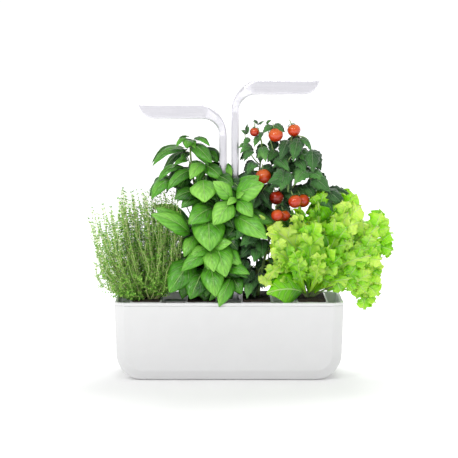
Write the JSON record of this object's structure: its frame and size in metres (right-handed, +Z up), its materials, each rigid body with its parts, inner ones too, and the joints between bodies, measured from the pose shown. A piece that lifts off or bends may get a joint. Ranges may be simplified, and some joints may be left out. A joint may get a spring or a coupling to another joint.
{
  "type": "countertop hydroponic garden",
  "caption": "White countertop indoor garden with a self-watering tank, lift-out herb and vegetable pods, and two brushed aluminium lamps that slide up and down in a central well.",
  "frame": {"origin": "middle of the underside of the tank's plinth, on the worktop", "axes": "+Z up, front panel towards -Y, +X to the viewer's right seen from the front"},
  "size_m": [0.5555, 0.1904, 0.5493],
  "materials": {
    "white_plastic": "satin white",
    "grey_plastic": "matte grey",
    "brushed_aluminium": "brushed, pale anodised",
    "diffuser": "frosted white",
    "circuit_board": "green solder mask",
    "rubber": "matte black",
    "steel": "drawn wire",
    "felt": "undyed felt",
    "soil": "damp dark growing medium",
    "gauge_red": "red",
    "thyme_leaf": "small olive-green leaves on pale stems",
    "basil_leaf": "glossy mid-green leaves",
    "tomato_leaf": "dark green leaves",
    "lettuce_leaf": "bright yellow-green frilled leaves",
    "tomato_skin": "glossy red, orange at the top trusses"
  },
  "bodies": {
    "garden": {"tank": "white_plastic", "deck": "white_plastic", "flap_hinge_pin": "steel", "lamp_well": "white_plastic", "left_brake_pad": "rubber", "right_brake_pad": "rubber", "control_board": "circuit_board", "dc_inlet": "grey_plastic", "float_guide": "white_plastic", "thyme_plant": "thyme_leaf", "basil_plant": "basil_leaf", "tomato_plant": "tomato_leaf", "lettuce_plant": "lettuce_leaf", "pod_1": "white_plastic", "soil_1": "soil", "wick_1": "felt", "pod_2": "white_plastic", "soil_2": "soil", "wick_2": "felt", "pod_3": "white_plastic", "soil_3": "soil", "wick_3": "felt", "pod_4": "white_plastic", "soil_4": "soil", "wick_4": "felt", "tomato_1": "tomato_skin", "tomato_2": "tomato_skin", "tomato_3": "tomato_skin", "tomato_4": "tomato_skin", "tomato_5": "tomato_skin", "tomato_6": "tomato_skin", "tomato_7": "tomato_skin", "tomato_8": "tomato_skin", "tomato_9": "tomato_skin"},
    "left_lamp": {"left_arm": "brushed_aluminium", "left_led_board": "circuit_board", "left_diffuser": "diffuser"},
    "right_lamp": {"right_arm": "brushed_aluminium", "right_led_board": "circuit_board", "right_diffuser": "diffuser"},
    "flap": {"fill_flap": "white_plastic"},
    "gauge": {"float_gauge": "gauge_red"},
    "button": {"mode_button": "grey_plastic"}
  },
  "joints": [
    {"name": "left_lamp_slide", "type": "slide", "parent": "garden", "child": "left_lamp", "axis": [0, 0, 1], "range_m": [-0.02, 0.06]},
    {"name": "right_lamp_slide", "type": "slide", "parent": "garden", "child": "right_lamp", "axis": [0, 0, 1], "range_m": [-0.03, 0.015]},
    {"name": "flap_hinge", "type": "hinge", "parent": "garden", "child": "flap", "pos_m": [-0.1017, 0.0361, 0.1331], "axis": [-1, 0, 0], "range_deg": [0, 85]},
    {"name": "gauge_slide", "type": "slide", "parent": "garden", "child": "gauge", "axis": [0, 0, 1], "range_m": [0, 0.036]},
    {"name": "button_press", "type": "slide", "parent": "garden", "child": "button", "axis": [0, -1, 0], "range_m": [0, 0.0015], "stiffness_N_per_m": 1000}
  ]
}
